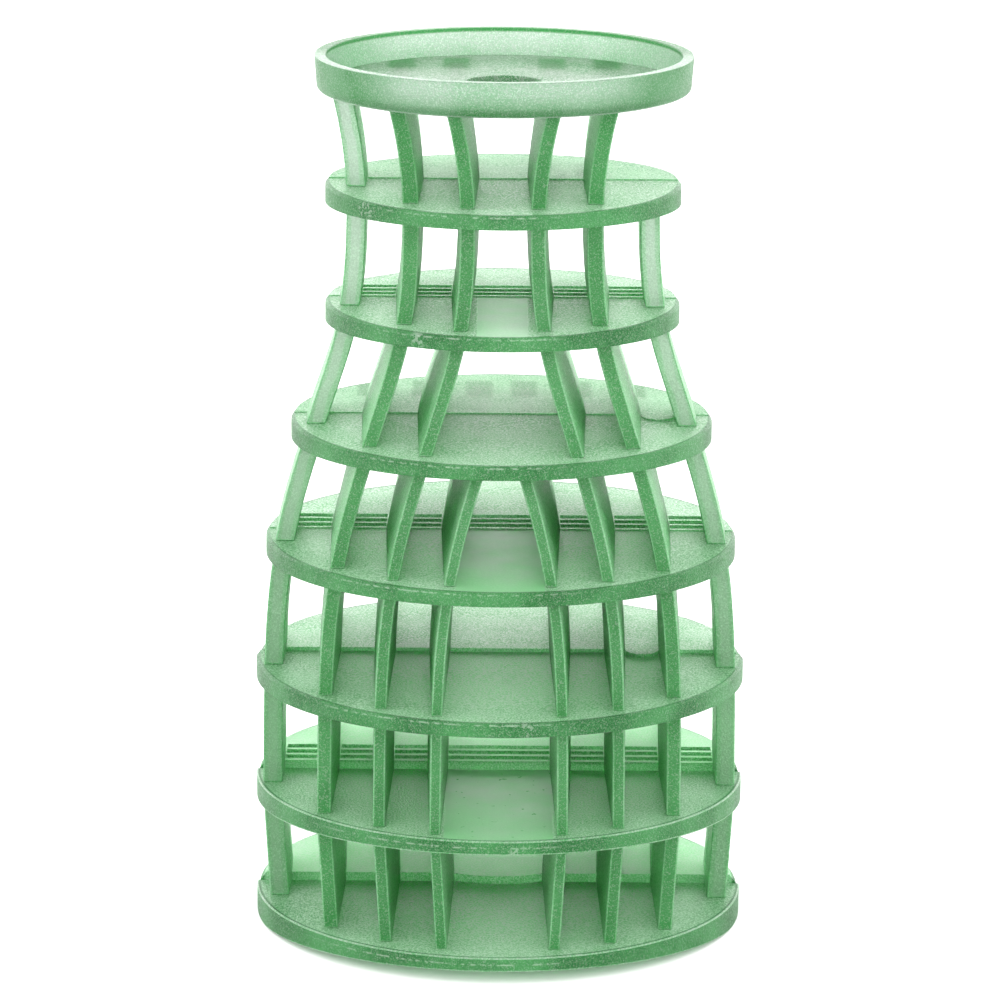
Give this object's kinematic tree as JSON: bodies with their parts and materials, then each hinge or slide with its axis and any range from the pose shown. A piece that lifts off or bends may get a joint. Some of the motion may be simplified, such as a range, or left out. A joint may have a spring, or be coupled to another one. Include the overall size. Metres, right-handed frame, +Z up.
{
  "type": "wasp trap",
  "caption": "Bottle-shaped tower of round plates and upright fins in frosted green plastic, with a shallow bait cup on top, for luring wasps into the gaps.",
  "frame": {"origin": "centre of the flat band under the base plate, on the surface the tower stands on", "axes": "+Z up along the tower's axis, -Y towards the front, +X to the right seen from the front; the moulding's parting plane is y = 0"},
  "size_m": [0.0686, 0.0682, 0.1226],
  "materials": {
    "plate_plastic": "frosted translucent green moulded plastic with fine sparkle grain; the middle bays of three front plates are smooth",
    "fin_plastic": "frosted translucent green moulded plastic, faint lengthwise polishing marks",
    "cup_plastic": "frosted translucent green moulded plastic, smoother on the wall"
  },
  "bodies": {
    "root": {"cup_wall": "cup_plastic", "cup_floor": "cup_plastic", "front_base_plate": "plate_plastic", "front_plate_2": "plate_plastic", "front_plate_3": "plate_plastic", "front_plate_4": "plate_plastic", "front_plate_5": "plate_plastic", "front_plate_6": "plate_plastic", "front_plate_7": "plate_plastic", "rear_base_plate": "plate_plastic", "rear_plate_2": "plate_plastic", "rear_plate_3": "plate_plastic", "rear_plate_4": "plate_plastic", "rear_plate_5": "plate_plastic", "rear_plate_6": "plate_plastic", "rear_plate_7": "plate_plastic", "front_fins_1": "fin_plastic", "front_fins_2": "fin_plastic", "front_fins_3": "fin_plastic", "front_fins_4": "fin_plastic", "front_fins_5": "fin_plastic", "front_fins_6": "fin_plastic", "front_fins_7": "fin_plastic", "rear_fins_1": "fin_plastic", "rear_fins_2": "fin_plastic", "rear_fins_3": "fin_plastic", "rear_fins_4": "fin_plastic", "rear_fins_5": "fin_plastic", "rear_fins_6": "fin_plastic", "rear_fins_7": "fin_plastic"}
  },
  "joints": []
}
